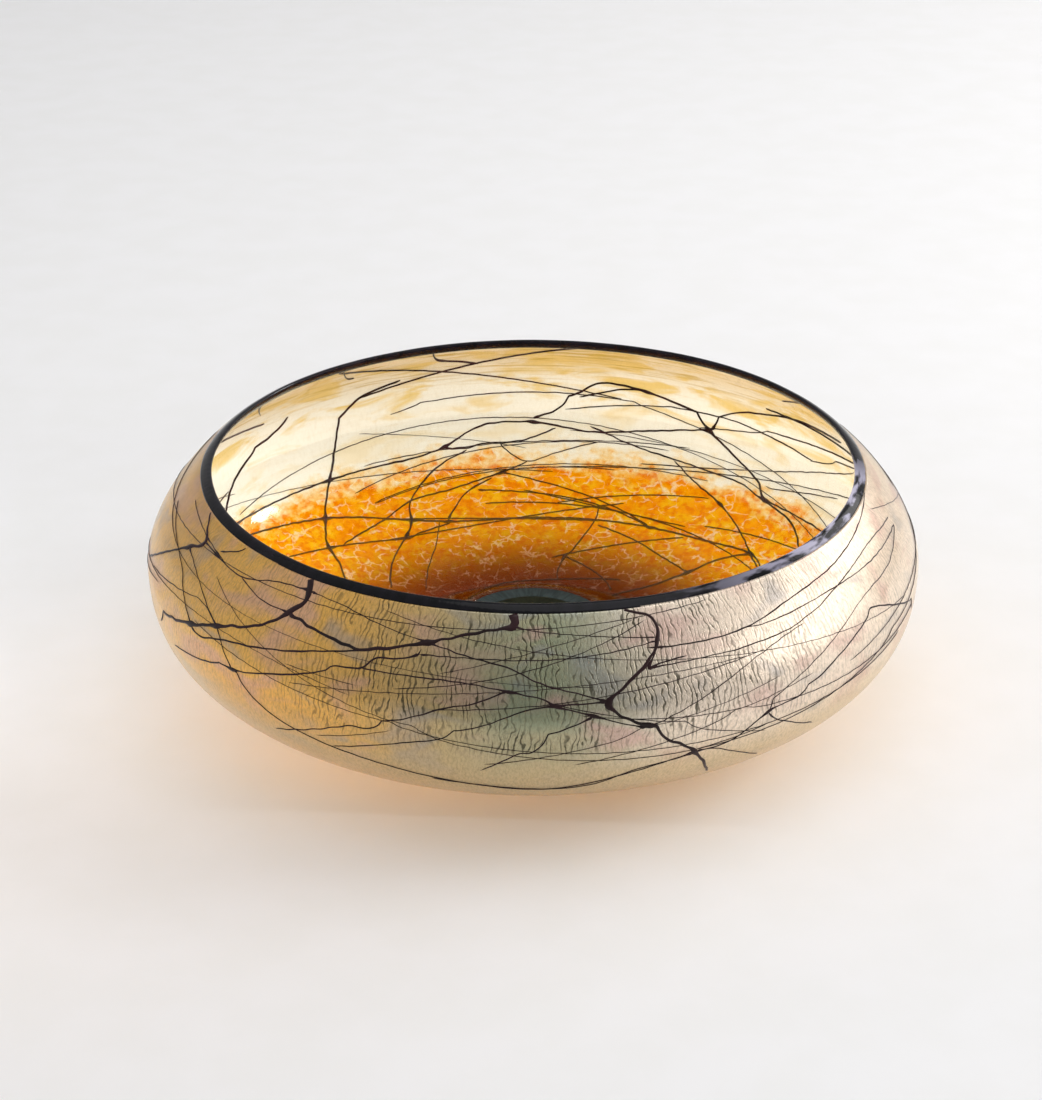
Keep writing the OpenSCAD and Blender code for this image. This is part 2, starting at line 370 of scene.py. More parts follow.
def luster_material():
    """Iridescent silver and gold outside with upright crackle, which lets some light through."""
    m = Nodes("luster")
    side, back, height = m.place()
    # broad colour zones: olive silver in front, gold on the left with a painted glow of light coming out
    # through the wall, and peach silver on the right lightened into a painted highlight of the window
    drift = m.cloud(0.02, 0.05, distortion=0.4)
    base = m.mix(m.ramp(drift, 0.38, 0.62), hexed("b3ab89"), hexed("98a184"))
    # gold luster on the left, deepened as a painted glow of light coming out through the wall
    base = m.mix(m.ramp(side, -6.0, -66.0), base, hexed("f4ba5a"))
    # painted highlight: the right side is lightened to a warm white where the window is mirrored, over a
    # peach luster
    base = m.mix(m.ramp(side, 2.0, 52.0), base, hexed("ffecd8"))
    # straw behind, then rosy and blue-grey patches, then straw low down
    tint = m.cloud(0.035, 0.07, distortion=0.6)
    base = m.mix(m.ramp(back, -30.0, 60.0), base, hexed("d9c190"))
    base = m.mix(m.times(m.ramp(tint, 0.5, 0.68), 0.55), base, hexed("d8a8a2"))
    base = m.mix(m.times(m.ramp(tint, 0.46, 0.3), 0.5), base, hexed("8f96a0"))
    base = m.mix(m.times(m.ramp(height, -2.0, -20.0), 0.85), base, hexed("dcc394"))
    # fine olive mottle
    fleck = m.cloud(1.6, 0.8, 3.0, 0.7)
    base = m.mix(m.ramp(fleck, 0.35, 0.75, 0.0, 0.4), base, hexed("7f7350"))
    wrinkle = crackle(m, side, back, height)
    # painted shade: the creases of the wrinkles are coloured dark
    base = m.mix(m.times(wrinkle, 0.92), base, hexed("35331f"))
    grain = m.cloud(2.4, 1.2, roughness=0.6)
    relief = m.math("ADD", m.times(wrinkle, -0.8), m.times(grain, 0.4))
    skin = m.add("ShaderNodeBsdfPrincipled", Base_Color=base, Metallic=0.85, Roughness=0.3,
                 Coat_Weight=0.35, Coat_Roughness=0.08, Coat_IOR=1.5,
                 Normal=m.bump(relief, 0.55, 0.0003))
    through = m.add("ShaderNodeBsdfTransparent", Color=hexed("fff3dc"))
    # the silver is densest on the front shoulder and in the wrinkles, and thin at the back and low down
    dense = m.times(m.ramp(back, -40.0, -105.0), m.ramp(height, -40.0, -4.0))
    share = m.math("SUBTRACT", 0.62, m.times(dense, 0.48))
    share = m.times(share, m.math("SUBTRACT", 1.0, m.times(wrinkle, 0.6)))
    # light that meets the silver from inside passes, so the wall glows as thin glass does
    inside = m.add("ShaderNodeNewGeometry").outputs["Backfacing"]
    share = m.math("MAXIMUM", m.times(share, 0.3), m.times(inside, 0.95))
    return m.finish(m.blend(share, skin, through))


def cream_material():
    """The silvered skin seen from inside: cream glass with thin clouds, and gold streaks near the mouth."""
    m = Nodes("cream_glass")
    height = m.place()[2]
    cloud = m.cloud(0.035, 0.12, 3.0, 0.6, 0.5)
    streak = m.cloud(0.03, 0.7, 3.0, 0.6, 0.7)
    # the gold clouds thin out lower down, leaving the mid wall pale cream: partly its own colour, partly a
    # painted highlight
    patches = m.times(m.ramp(cloud, 0.46, 0.64), m.ramp(height, -14.0, 8.0, 0.4, 1.0))
    color = m.mix(patches, hexed("fbf8f0"), hexed("efd28a"))
    gold = m.times(m.ramp(streak, 0.5, 0.66), m.ramp(height, 2.0, 24.0, 0.06, 0.9))
    color = m.mix(m.ramp(height, 2.0, 26.0, 0.0, 0.6), color, hexed("dfb668"))
    color = m.mix(gold, color, hexed("c9a445"))
    grain = m.cloud(1.2, 0.4, 3.0, 0.6)
    color = m.mix(m.ramp(grain, 0.45, 0.7, 0.0, 0.1), color, hexed("b79a55"))
    lit = m.add("ShaderNodeBsdfPrincipled", Base_Color=color, Roughness=0.45,
                Normal=m.bump(grain, 0.2, 0.0002))
    through = m.blend(0.25, m.add("ShaderNodeBsdfTranslucent", Color=color),
                      m.add("ShaderNodeBsdfTransparent", Color=color))
    return m.finish(m.blend(0.5, lit, through))


def pale_veins(m):
    """Veins between patches: 1 in the middle of a vein, thin and broken in places."""
    warp = m.add("ShaderNodeTexNoise", Vector=m.wrap(0.16, 0.2), Scale=1.0, Detail=3.0)
    shifted = m.add("ShaderNodeVectorMath", {"operation": "MULTIPLY_ADD"})
    for socket, value in zip(shifted.inputs, (warp.outputs["Color"], (1.3, 1.3, 1.3), m.wrap(0.14, 0.24))):
        m.put(socket, value)
    edge = m.add("ShaderNodeTexVoronoi", {"feature": "DISTANCE_TO_EDGE"}, Vector=shifted, Scale=1.0)
    width = m.ramp(m.cloud(0.13, 0.2), 0.44, 0.66, 0.0, 0.12)
    across = m.math("DIVIDE", edge.outputs["Distance"], m.math("ADD", width, 0.001))
    return m.math("SUBTRACT", 1.0, across, clamp=True)


def amber_material():
    """Clear amber patches between pale veins, thinning out up the wall: it tints what is behind it."""
    m = Nodes("amber_frit")
    height = m.place()[2]
    blot = m.cloud(0.09, 0.16, 3.0, 0.6)
    spot = m.cloud(0.3, 0.42, 3.0, 0.6)
    color = m.mix(m.ramp(blot, 0.38, 0.62), hexed("ffd41c"), hexed("ffbc08"))
    color = m.mix(m.ramp(spot, 0.42, 0.66), color, hexed("f69e00"))
    # darker brown-orange towards the floor: thicker amber, and painted shade in the bottom of the bowl
    color = m.mix(m.ramp(height, -50.0, -90.0), color, hexed("8c3a02"))
    # patches thin out upward into clouds
    reach = m.ramp(height, -36.0, -10.0, 0.3, 1.1, smooth=False)
    cover = m.math("ADD", m.times(blot, 0.9), m.times(spot, 0.45))
    keep = m.ramp(m.math("SUBTRACT", cover, reach), -0.2, 0.25)
    color = m.mix(m.ramp(keep, 0.3, 1.0), hexed("ffd250"), color)
    # the veins fade on the dark floor
    deep = m.ramp(height, -88.0, -52.0, 0.2, 0.7)
    keep = m.times(keep, m.math("SUBTRACT", 1.0, m.times(pale_veins(m), deep)))
    body = m.add("ShaderNodeBsdfDiffuse", Color=m.mix(keep, hexed("ffe9a8"), color))
    clear = m.add("ShaderNodeBsdfTransparent", Color=m.mix(keep, hexed("ffffff"), color))
    return m.finish(m.blend(m.times(keep, 0.09), clear, body))


def clear_material():
    """Thick clear glass without bending light: a transparent body with a Fresnel gloss."""
    m = Nodes("clear_glass")
    normal = m.bump(m.cloud(0.06, 0.08), 0.12, 0.002)
    gloss = m.add("ShaderNodeBsdfGlossy", Roughness=0.03, Color=rgb(1, 1, 1), Normal=normal)
    clear = m.add("ShaderNodeBsdfTransparent", Color=rgb(0.985, 0.98, 0.96))
    outside = m.math("SUBTRACT", 1.0, m.add("ShaderNodeNewGeometry").outputs["Backfacing"])
    shine = m.times(m.add("ShaderNodeFresnel", IOR=1.5, Normal=normal), outside)
    return m.finish(m.blend(m.times(shine, 0.3), clear, gloss))


def fused_material():
    """The face where clear glass is fused to the next layer: it neither reflects nor bends light."""
    m = Nodes("fused_face")
    return m.finish(m.add("ShaderNodeBsdfTransparent", Color=rgb(0.99, 0.985, 0.97)))


def clouded(m, scale, color, second):
    """Soft clouds between two colours."""
    return m.mix(m.ramp(m.cloud(scale, scale, 3.0), 0.35, 0.65), color, second)


def dark_finish(m, shade, roughness, specular):
    """Finishes a dark glass, with a slightly uneven face."""
    uneven = m.bump(m.cloud(0.5, 0.5), 0.12, 0.0004)
    return m.finish(m.add("ShaderNodeBsdfPrincipled", Base_Color=shade, Roughness=roughness,
                          Specular_IOR_Level=specular, Normal=uneven))


def dark_glass(name, color, second, scale, roughness, specular):
    m = Nodes(name)
    return dark_finish(m, clouded(m, scale, color, second), roughness, specular)


def lip_material():
    """Black glass with streaks of a painted grey-violet reflection of the window on the front right."""
    m = Nodes("black_lip_glass")
    side, back, _ = m.place()
    shade = clouded(m, 0.2, rgb(0.003, 0.003, 0.004), rgb(0.007, 0.006, 0.009))
    streak = m.ramp(m.cloud(0.07, 0.5, 3.0), 0.44, 0.6)
    painted_reflection = m.times(m.ramp(side, 36.0, 110.0), m.ramp(back, 10.0, -30.0))
    # painted reflection: grey-violet streaks where the window shows in the lip
    shade = m.mix(m.times(streak, painted_reflection), shade, hexed("a9a5b8"))
    return dark_finish(m, shade, 0.06, 0.14)


def table_material():
    m = Nodes("pale_table")
    grain = m.noise(m.add("ShaderNodeTexCoord").outputs["Object"], 40.0, 4.0)
    shade = m.mix(m.ramp(grain, 0.3, 0.7), hexed("f2f1f0"), hexed("f4f3f3"))
    return m.finish(m.add("ShaderNodeBsdfPrincipled", Base_Color=shade, Roughness=0.7))


luster = luster_material()
cream = cream_material()
amber = amber_material()
clear = clear_material()
fused = fused_material()
black = lip_material()
smoke = dark_glass("smoke_glass", hexed("232a2b"), hexed("151b1c"), 0.2, 0.6, 0.05)
olive = dark_glass("button_glass", hexed("12150d"), hexed("090b06"), 0.2, 0.6, 0.05)
thread = dark_glass("trail_glass", rgb(0.012, 0.006, 0.005), rgb(0.03, 0.01, 0.012), 0.05, 0.3, 0.2)

# ---------------------------------------------------------------- the bowl's layers
AMBER_DEPTH = SKIN_T + AMBER_T
SKIN_LEVEL = -96            # where the silvered skin ends, just above the foot
AMBER_LEVEL = -6            # where the amber layer starts, just below the widest level
SKIN_GAP = 0.05             # space between the skin and the amber layer
CLEAR_GAP = 0.2             # space between the amber layer and the clear gather
PLUG_GAP = 0.1              # space between the amber layer and the floor ring and button
BUTTON_GAP = 0.15           # half the space between the floor ring and the button
EDGE_STEP = 1.0             # how far in from the foot's edge the lines of the floor and underside start
# rows of facets along each stretch of a layer: each finished mesh stays under 196,000 triangles
SKIN_ROWS = 122
AMBER_ROWS = 80
CASING_ROWS = 6
UNDER_ROWS = 40
GATHER_OUTER_ROWS = 90
GATHER_UNDER_ROWS = 20
GATHER_INNER_ROWS = 110
GATHER_FLOOR_ROWS = 28
PLUG_ROWS = 24


def own(piece, slot, *nodes):
    """Puts a piece in the bowl and hides the CAD nodes that it stands for; the finish in slot is not used."""
    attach(piece, "root")
    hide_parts(*nodes)
    return piece


def amber_line(depth):
    """One face of the amber layer, down the wall and in to the axis."""
    wall = wall_line(AMBER_LEVEL, FOOT, AMBER_ROWS, depth)
    return wall + under_line(FOOT_R - EDGE_STEP, 0, UNDER_ROWS, depth)


def casing_line(depth):
    """One face of the foot casing, from the end of the skin in to the axis."""
    wall = wall_line(SKIN_LEVEL, FOOT, CASING_ROWS, depth)
    return wall + under_line(FOOT_R - EDGE_STEP, 0, UNDER_ROWS, depth)


def plug(name, far, near, material, slot, node):
    """A ring or disc of glass in the floor, between two radii."""
    top = floor_line(far, near, PLUG_ROWS)
    bottom = under_line(far, near, PLUG_ROWS, AMBER_DEPTH + PLUG_GAP)
    own(layer(name, bottom, top, FOOT, [material]), slot, node)


skin_outer = wall_line(MOUTH, SKIN_LEVEL, SKIN_ROWS, 0)
skin_inner = wall_line(MOUTH, SKIN_LEVEL, SKIN_ROWS, SKIN_T)
own(layer("silver_skin_shell", skin_outer, skin_inner, MOUTH, [luster, cream]), "luster_glass", "silver_skin")

amber_outer = amber_line(SKIN_T + SKIN_GAP)
amber_inner = amber_line(AMBER_DEPTH)
own(layer("amber_layer", amber_outer, amber_inner, AMBER_LEVEL, [fused, amber]), "amber_glass", "amber_frit")

gather_depth = AMBER_DEPTH + CLEAR_GAP
gather_outer = wall_line(MOUTH, FOOT, GATHER_OUTER_ROWS, gather_depth)
gather_outer += under_line(FOOT_R - EDGE_STEP, DISC_R, GATHER_UNDER_ROWS, gather_depth)
gather_inner = wall_line(MOUTH, FOOT, GATHER_INNER_ROWS, wall_at)
gather_inner += floor_line(FLOOR_EDGE[0] - EDGE_STEP, DISC_R, GATHER_FLOOR_ROWS)
gather = layer("clear_gather_shell", gather_outer, gather_inner, MOUTH, [fused, clear])
own(gather, "clear_glass", "clear_gather")

casing = layer("foot_casing_shell", casing_line(0), casing_line(SKIN_T), SKIN_LEVEL, [clear, fused])
own(casing, "clear_glass", "foot_casing")

plug("floor_ring", DISC_R, BUTTON_R + BUTTON_GAP, smoke, "smoke_glass", "base_ring")
plug("floor_button", BUTTON_R - BUTTON_GAP, 0, olive, "button_glass", "base_button")

# ---------------------------------------------------------------- black lip
LIP_FACETS = 32             # facets across the lip
LIP_SWING = 0.8             # share of the unevenness that goes in and out
LIP_LIFT = 0.7              # share of it that goes up and down
LIP_CREST = 0.35            # most that it may lift, in mm before that share
LIP_DROP = 0.25             # how far the whole lip is let down, so that it stays under the bowl's height
LIP_FROM = 30.0             # surface coordinate in mm at the lip's inner edge
LIP_PITCH = 0.2             # its growth from facet to facet

rng = random.Random(7)
waves = [(k, rng.uniform(0, 2 * math.pi), 0.16 / k ** 0.7) for k in (2, 3, 5, 8, 13, 21, 34)]


def lip_ripple(turn):
    """Hand-made unevenness of the lip, in mm."""
    swing = sum(a * math.sin(k * turn + p) for k, p, a in waves)
    lift = sum(a * math.sin(k * turn + 2 * p) for k, p, a in waves)
    return swing * LIP_SWING, min(lift, LIP_CREST) * LIP_LIFT - LIP_DROP


def lip_section():
    """Half an ellipse that stands on the end of the wall, as (radius, height) in mm."""
    middle_r, middle_z, across, up = outline(MOUTH, MOUTH_WALL / 2)
    section = []
    for i in range(LIP_FACETS, -1, -1):
        turn = math.pi * i / LIP_FACETS
        wide = math.cos(turn) * LIP_W / 2
        tall = math.sin(turn) * LIP_H
        section.append((middle_r + across * wide - up * tall, middle_z + up * wide + across * tall))
    return section


section = lip_section()
lip_along = [LIP_FROM + i * LIP_PITCH for i in range(len(section))]
lip = lathe("black_lip", section, lip_along, [0] * len(section), [black], lip_ripple)
own(lip, "black_glass", "lip_wrap")

# ---------------------------------------------------------------- web of trails
# Points are (azimuth in degrees, level): azimuth 0 is the front and 90 the right.
ABOVE_MM = 0.36             # length of one level above the widest level
BELOW_MM = 0.95             # length of one level below it
TRAIL_CORE = 0.47           # depth of a trail's middle: it shows on both faces of the wall
TRAIL_HALF = 0.66           # half its thickness through the wall
TRAIL_END = 99.5            # a trail stays within this level, above and below
TRAIL_SWELL = 0.22          # how much of its width a trail gains and loses along its length
TIP_W = 0.25                # width of a trail's tip, as a share of its full width
TIP_STEPS = 3               # points over which it widens from its tip
FROM_LIP = 97               # a trail that starts above this level leaves the lip at its full width
KNOT_R = 2.0                # reach of a knot in mm
KNOT_TURN = 5               # a knot further round than this in degrees has no effect
SIDES = 8                   # facets round a trail
FULL_TURN = 6.3             # about one turn in radians, for random phases
HEAVY_W = 1.0               # a main trail wider than this in mm is a heavy one
HEAVY_WOBBLE = 0.35         # how far a heavy trail strays to each side, in mm
MAIN_WOBBLE = 0.2
BRANCH_WOBBLE = 0.18
FINE_WOBBLE = 0.15
TRAIL_STEP = 0.8            # distance in mm between the rings of a trail
FINE_STEP = 1.2             # the same on a fine thread

MAIN = {
    "trail_west_rim": (1.2, [(-68, 99), (-64, 88), (-63, 82), (-66, 72), (-71, 55), (-80, 20)]),
    "trail_west_drip": (1.3, [(-37, 99), (-36, 86), (-38, 73), (-42, 56), (-50, 38), (-56, 23),
                              (-68, -5)]),
    "trail_west_band": (0.75, [(-56, 22), (-53, 18), (-48, 29), (-39, 41), (-29, 56), (-23, 64)]),
    "trail_front_drip": (1.3, [(-3, 99), (-3, 91), (-8, 86), (-15, 76), (-22, 66), (-26, 63), (-38, 73)]),
    "trail_front_sweep": (0.6, [(-15, 76), (-8, 68), (-3, 62), (1, 51), (5, 44), (10, 34)]),
    "trail_front_band": (0.55, [(-24, 49), (-12, 50), (-6, 47), (1, 39), (3, 32), (8, 21), (15, 0)]),
    "trail_low_loop": (0.6, [(-45, 2), (-41, -5), (-34, -12), (-19, -20), (-8, -26), (2, -29), (14, -18),
                             (22, -12)]),
    "trail_east_drip": (1.2, [(14, 99), (18, 91), (18, 76), (15, 57), (12, 44), (10, 31), (13, 12),
                              (17, -2), (22, -12), (26, -33)]),
    "trail_east_rise": (0.5, [(16, 57), (22, 58), (30, 58), (39, 60), (46, 66), (54, 74), (65, 80),
                              (77, 75)]),
    "trail_east_arm": (0.7, [(22, -12), (27, -11), (33, -3), (40, 0), (46, 17), (54, 34), (58, 38),
                             (72, -4)]),
    "trail_back_left": (0.7, [(226, 32), (228, 16), (232, 2), (237, -5), (240, -11), (243, -20)]),
    "trail_back_drop": (0.8, [(204, 46), (209, 36), (212, 25), (215, 0), (218, -23), (224, -46),
                              (228, -58), (230, -68), (234, -76)]),
    "trail_back_arch": (0.7, [(244, -28), (231, -28), (211, -27), (202, -26), (196, -22), (189, -12),
                              (180, -11), (170, -15), (161, -12), (148, -5)]),
    "trail_back_wave": (0.75, [(180, -9), (175, -3), (172, 9), (168, 29), (160, 22), (150, -2),
                               (144, -13), (137, -24), (134, -32), (126, -37), (120, -46)]),
    "trail_back_slope": (0.6, [(170, -12), (161, -21), (149, -26), (140, -28), (134, -32), (118, -33)]),
    "trail_back_belt": (0.7, [(244, -35), (224, -46), (207, -59), (195, -64), (179, -64), (158, -63),
                              (141, -62), (128, -59), (122, -63)]),
    "trail_floor_arc": (0.7, [(149, -97), (141, -89), (136, -78), (133, -68), (128, -59)]),
}

# smaller trails between them: (width in mm, points)
BRANCHES = [
    (0.7, [(-16, 73), (-16, 67), (-19, 61), (-22, 59), (-24, 49), (-28, 45), (-30, 37), (-39, 16),
           (-45, 2), (-48, 0), (-62, -7)]),
    (0.5, [(-50, 38), (-48, 26), (-45, 2)]),
    (0.6, [(-7, -15), (-2, -6), (1, -3), (8, 21)]),
    (0.7, [(-53, 98), (-54, 94), (-58, 86)]),
    (0.5, [(-66, 72), (-62, 67), (-57, 57), (-50, 38)]),
    (0.35, [(-82, 77), (-66, 60), (-61, 44), (-56, 23)]),
    (0.4, [(-75, 27), (-61, 43), (-55, 48), (-50, 38)]),
    (0.55, [(-36, 92), (-40, 91), (-44, 88), (-50, 81), (-58, 83), (-63, 84)]),
    (0.5, [(-50, 81), (-44, 74), (-38, 73)]),
    (0.4, [(-76, 93), (-63, 87), (-53, 81)]),
    (0.4, [(-36, 92), (-29, 89), (-23, 83), (-15, 76)]),
    (0.6, [(18, 76), (17, 66), (16, 57), (18, 60), (22, 62)]),
    (0.45, [(-16, 67), (-8, 68), (-2, 68), (5, 69), (12, 72), (18, 76)]),
    (0.6, [(-3, 46), (-8, 32), (-12, 25), (-20, 0), (-26, -4), (-38, -17)]),
    (0.55, [(10, 34), (3, 32), (-1, 28), (-7, 9), (-11, -1), (-18, -6), (-28, -15)]),
    (0.4, [(33, -3), (38, 16), (48, 40), (56, 53), (67, 57), (77, 68)]),
    (0.6, [(33, -3), (34, -6), (37, -11), (43, -20)]),
    (0.6, [(22, -12), (26, -14), (34, -29)]),
    (0.5, [(22, -13), (14, -17), (8, -26), (2, -29), (-8, -26), (-14, -24)]),
    (0.6, [(16, 72), (22, 70), (27, 70), (33, 72), (42, 80), (54, 86), (67, 94), (77, 100)]),
    (0.5, [(31, 72), (36, 70), (49, 72), (62, 70), (77, 68)]),
    (0.4, [(-3, 91), (2, 87), (8, 84), (18, 78)]),
    (0.4, [(15, 0), (19, 13), (29, 41), (36, 54), (42, 60)]),
    (0.5, [(172, 0), (165, 20), (160, 24)]),
    (0.6, [(148, -5), (147, -1), (143, 18), (138, 28), (129, 41), (118, 41)]),
    (0.6, [(196, -23), (192, -24), (189, -22), (182, -21), (176, -14)]),
    (0.7, [(192, -25), (198, -33), (204, -46), (206, -52), (207, -59), (210, -66), (219, -77),
           (226, -86)]),
    (0.5, [(238, -55), (228, -60), (212, -67), (206, -66), (199, -64)]),
    (0.6, [(225, -61), (213, -56), (205, -49), (196, -46), (186, -39), (181, -33)]),
    (0.6, [(199, -62), (197, -57), (193, -48), (188, -42)]),
    (0.4, [(191, -48), (183, -50), (175, -52), (165, -56), (153, -63)]),
    (0.4, [(186, -39), (179, -44), (166, -53), (154, -62)]),
    (0.45, [(201, -62), (205, -74), (213, -86), (218, -92)]),
    (0.5, [(207, -100), (193, -96), (171, -94), (151, -90)]),
    (0.5, [(166, -56), (166, -64), (169, -79), (171, -83), (172, -90), (171, -95)]),
    (0.5, [(171, -83), (158, -90), (151, -95)]),
    (0.45, [(136, -78), (146, -75), (154, -71), (165, -66)]),
    (0.6, [(154, -25), (149, -34), (142, -42), (134, -52), (128, -59), (123, -63)]),
    (0.4, [(160, -30), (149, -26), (137, -18), (125, -7), (116, 0)]),
    (0.4, [(135, -25), (132, -24), (119, -14)]),
    (0.4, [(186, -21), (185, -26), (181, -33), (175, -27), (168, -20)]),
    (0.8, [(200, 99), (198, 75), (194, 68), (190, 61)]),
    (0.5, [(219, 99), (216, 72), (214, 67)]),
    (0.4, [(237, 99), (237, 78), (234, 55)]),
]

# knots where trails melt together: (azimuth, level, extra width in mm)
KNOTS = [
    (-37, 98, 1.6), (-36, 91, 1.6), (-37, 80, 1.0), (-38, 73, 1.3), (-56, 23, 1.6), (-50, 38, 1.2),
    (-45, 2, 1.3), (-3, 99, 2.0), (-3, 91, 1.5), (-15, 76, 1.5), (-16, 67, 0.9), (-3, 46, 1.2),
    (3, 32, 1.0), (8, 21, 1.2), (10, 32, 2.2), (15, 0, 2.0), (22, -12, 1.7), (33, -3, 1.2), (16, 57, 0.9),
    (-63, 82, 1.2), (-66, 72, 1.6), (-58, 86, 0.8), (18, 76, 0.8), (180, -10, 1.3), (196, -22, 0.9),
    (160, 23, 1.0), (148, -5, 1.3), (134, -32, 1.1), (128, -59, 1.4), (136, -78, 1.4), (171, -83, 1.2),
    (224, -46, 1.4), (228, -60, 1.2), (207, -59, 1.1), (210, -66, 1.3), (191, -48, 1.0), (199, -62, 1.1),
    (153, -63, 0.9), (151, -95, 1.3), (219, -27, 0.8), (142, -42, 1.0), (186, -39, 0.8), (197, 75, 0.9),
]


def to_mm(level):
    return level * (ABOVE_MM if level > 0 else BELOW_MM)


def surface_gap(turn, level, other):
    """Distance in mm along the surface, across a turn in degrees and from one level to another."""
    return math.hypot(math.radians(turn) * BODY_R, to_mm(other) - to_mm(level))


def curve_through(points, step):
    """Catmull-Rom curve through the points, sampled about every step mm."""
    pts = [points[0]] + list(points) + [points[-1]]
    out = []
    for i in range(1, len(pts) - 2):
        a, b, c, d = (np.array(p, float) for p in pts[i - 1:i + 3])
        count = max(2, int(surface_gap(c[0] - b[0], b[1], c[1]) / step))
        for k in range(count):
            t = k / count
            out.append(0.5 * (2 * b + (c - a) * t + (2 * a - 5 * b + 4 * c - d) * t * t
                              + (3 * b - a - 3 * c + d) * t ** 3))
    out.append(np.array(points[-1], float))
    return np.array(out)


def knot_width(azimuth, level):
    """Width in mm that the knots near a point add to a trail."""
    width = 0.0
    for knot_azimuth, knot_level, extra in KNOTS:
        away = (knot_azimuth - azimuth + 180) % 360 - 180
        if abs(away) < KNOT_TURN:
            width += extra * math.exp(-(surface_gap(away, level, knot_level) / KNOT_R) ** 2)
    return width


class Tubes:
    """Collects elliptical threads and makes one mesh of them."""

    def __init__(self, seed):
        self.verts, self.faces, self.wrap = [], [], []
        self.rng = random.Random(seed)

    def unsteady(self, count, low, high):
        """A smooth random function of the distance along a thread, from -1 to 1."""
        beats = [(self.rng.uniform(low, high), self.rng.uniform(0, FULL_TURN)) for _ in range(count)]
        return lambda run: sum(math.sin(f * run + p) for f, p in beats) / count

    def stations(self, route, width, wobble, knots):
        """Azimuth, level, sideways shift and width, both in mm, at each point of a route."""
        shake = self.unsteady(5, 0.25, 1.3)
        swell = self.unsteady(3, 0.1, 0.5)
        stations = []
        run = 0.0
        for i, (azimuth, level) in enumerate(route):
            if i:
                run += surface_gap(azimuth - route[i - 1][0], route[i - 1][1], level)
            w = width * (1 + TRAIL_SWELL * swell(run))
            if knots:
                w += knot_width(azimuth, level)
            stations.append((azimuth, min(level, TRAIL_END), wobble * shake(run), w))
        return stations

    def add(self, points, width, wobble, step=TRAIL_STEP, knots=True):
        """Adds a thread through the points, drawn by a slightly unsteady hand."""
        stations = self.stations(curve_through(points, step), width, wobble, knots)
        base = len(self.verts)
        last = len(stations) - 1
        places, normals = [], []
        for azimuth, level, _, _ in stations:
            r, z, across, up = outline(max(level, -TRAIL_END), TRAIL_CORE)
            turn = math.radians(azimuth)
            places.append(np.array([*around(r, turn), z]))
            normals.append(np.array([*around(across, turn), up]))
        for i, (azimuth, level, shift, w) in enumerate(stations):
            ahead = places[min(last, i + 1)] - places[max(0, i - 1)]
            side = np.cross(normals[i], ahead)
            side /= max(np.linalg.norm(side), 1e-9)
            from_tip = last - i if points[0][1] > FROM_LIP else min(i, last - i)
            taper = min(1.0, TIP_W + (1 - TIP_W) * from_tip / TIP_STEPS)
            for k in range(SIDES):
                angle = 2 * math.pi * k / SIDES
                spot = (places[i] + side * (shift + math.cos(angle) * w * taper / 2)
                        + normals[i] * math.sin(angle) * TRAIL_HALF * (0.6 + 0.4 * taper))
                self.verts.append(spot * MM)
                self.wrap.append((*around(BODY_R, math.radians(azimuth)), to_mm(level)))
        for i in range(last):
            for k in range(SIDES):
                n = (k + 1) % SIDES
                a = base + i * SIDES
                self.faces.append((a + k, a + n, a + SIDES + n, a + SIDES + k))
        self.faces.append(tuple(base + k for k in reversed(range(SIDES))))
        self.faces.append(tuple(base + last * SIDES + k for k in range(SIDES)))

    def make(self, name):
        return make_mesh(name, self.verts, self.faces, self.wrap, materials=[thread])


for index, (name, (width, points)) in enumerate(MAIN.items()):
    tubes = Tubes(100 + index)
    tubes.add(points, width, HEAVY_WOBBLE if width > HEAVY_W else MAIN_WOBBLE)
    own(tubes.make(name.replace("trail_", "thread_")), "trail_glass", name)

branches = Tubes(200)
for width, points in BRANCHES:
    branches.add(points, width, BRANCH_WOBBLE)
own(branches.make("thread_branches"), "trail_glass")

FINE_COUNT = 64             # fine threads drawn
FINE_TURN = 6               # degrees between the points of one
FINE_WIDTHS = (0.22, 0.26, 0.3, 0.36)
FINE_TOP = 98               # highest level that one reaches
LOW_FRONT = -12             # in front, none goes below this level
TO_THE_SIDE = 0.6           # every other one keeps out of the sides, where the sine of its azimuth is larger


def fine_points(number, rng):
    """Points and width of a ring of drawn glass tilted across the bowl, cut off where the web is open."""
    middle = rng.uniform(-62, 34)
    swing = rng.uniform(6, 46)
    phase = rng.uniform(0, 360)
    start = rng.uniform(0, 360)
    length = rng.uniform(50, 170)
    width = rng.choice(FINE_WIDTHS)
    curl = rng.uniform(2, 6)
    curl_phase = rng.uniform(0, FULL_TURN)
    points = []
    for k in range(int(length / FINE_TURN) + 1):
        azimuth = start + FINE_TURN * k
        v = (middle + swing * math.sin(math.radians(azimuth - phase))
             + curl * math.sin(math.radians(azimuth * 2.3) + curl_phase))
        level = v / (ABOVE_MM if v > 0 else BELOW_MM)
        low_front = level < LOW_FRONT and math.cos(math.radians(azimuth)) > 0.0
        sparse = number % 2 and abs(math.sin(math.radians(azimuth))) > TO_THE_SIDE
        if SKIN_LEVEL < level < FINE_TOP and not low_front and not sparse:
            points.append((azimuth, level))
        elif len(points) > 2:
            break
        else:
            points = []
    return points, width


fine = Tubes(300)
rng = random.Random(41)
for number in range(FINE_COUNT):
    points, width = fine_points(number, rng)
    if len(points) > 2:
        fine.add(points, width, FINE_WOBBLE, FINE_STEP, knots=False)
own(fine.make("thread_fine"), "trail_glass")

# ---------------------------------------------------------------- table, light and camera, in metres
TABLE_HALF = 8.0            # half the table's width
TABLE_NEAR = -12.0          # its edge on the viewer's side
SWEEP_Y = 2.2               # where it starts to curve up
SWEEP_R = 1.2               # radius of that curve
BACKDROP_H = 5.0


